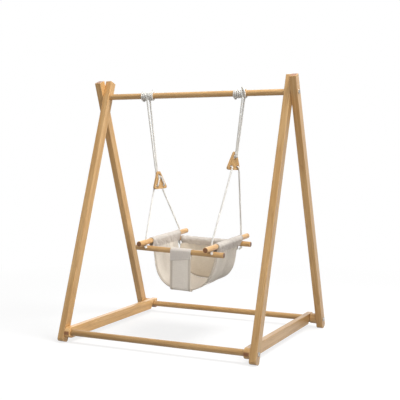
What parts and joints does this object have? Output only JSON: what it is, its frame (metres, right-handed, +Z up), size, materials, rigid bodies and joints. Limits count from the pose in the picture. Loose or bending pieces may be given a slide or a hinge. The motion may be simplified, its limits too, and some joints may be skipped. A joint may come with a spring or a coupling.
{
  "type": "foldable baby swing with stand",
  "caption": "Folding wooden A-frame stand with a canvas bucket seat hung from its top bar by two ropes with wooden adjusters; side rails unhook so that the rear legs fold in.",
  "frame": {"origin": "on the floor, in the middle of the stand's footprint", "axes": "+Z up, +X along the top bar to the right as the seat faces the viewer, +Y from the seat's front to its back"},
  "size_m": [0.9878, 0.8032, 1.1516],
  "materials": {
    "pine": "oiled, satin",
    "cotton_rope": "twisted cotton",
    "canvas": "plain weave canvas",
    "steel": "zinc plated"
  },
  "bodies": {
    "stand": {"front_leg_left": "pine", "front_leg_right": "pine", "top_bar": "pine", "front_dowel": "pine", "pivot_bolt_left": "steel", "pivot_bolt_right": "steel", "front_bolt_left": "steel", "front_bolt_right": "steel"},
    "rear_frame": {"rear_leg_left": "pine", "rear_leg_right": "pine", "rear_dowel": "pine", "rear_spacer_left": "pine", "rear_spacer_right": "pine", "rear_bolt_left": "steel", "rear_bolt_right": "steel"},
    "rail_left": {"side_rail_left": "pine"},
    "rail_right": {"side_rail_right": "pine"},
    "swing": {"rope_left": "cotton_rope", "rope_right": "cotton_rope", "rope_knot_front_left": "cotton_rope", "rope_knot_front_right": "cotton_rope", "rope_knot_rear_left": "cotton_rope", "rope_knot_rear_right": "cotton_rope", "canvas_bowl": "canvas", "canvas_back": "canvas", "canvas_strap": "canvas", "canvas_sleeve_left": "canvas", "canvas_sleeve_right": "canvas", "canvas_sleeve_front": "canvas", "canvas_sleeve_rear": "canvas", "rope_adjuster_left": "pine", "rope_adjuster_right": "pine", "seat_dowel_left": "pine", "seat_dowel_right": "pine", "seat_dowel_front": "pine", "seat_dowel_rear": "pine"}
  },
  "joints": [
    {"name": "rear_fold", "type": "hinge", "parent": "stand", "child": "rear_frame", "pos_m": [0, 0, 1.07602], "axis": [-1, 0, 0], "range_deg": [0, 36]},
    {"name": "rail_left_lift", "type": "hinge", "parent": "stand", "child": "rail_left", "pos_m": [0, -0.37193, 0.04294], "axis": [1, 0, 0], "range_deg": [0, 70.2]},
    {"name": "rail_right_lift", "type": "hinge", "parent": "stand", "child": "rail_right", "pos_m": [0, -0.37193, 0.04294], "axis": [1, 0, 0], "range_deg": [0, 70.2]},
    {"name": "swing_hinge", "type": "hinge", "parent": "stand", "child": "swing", "pos_m": [0, 0, 1.07602], "axis": [1, 0, 0], "range_deg": [-30, 30]}
  ],
  "couplings": [
    {"joint": "rail_left_lift", "follows": "rear_fold", "ratio": 1.95},
    {"joint": "rail_right_lift", "follows": "rear_fold", "ratio": 1.95}
  ]
}
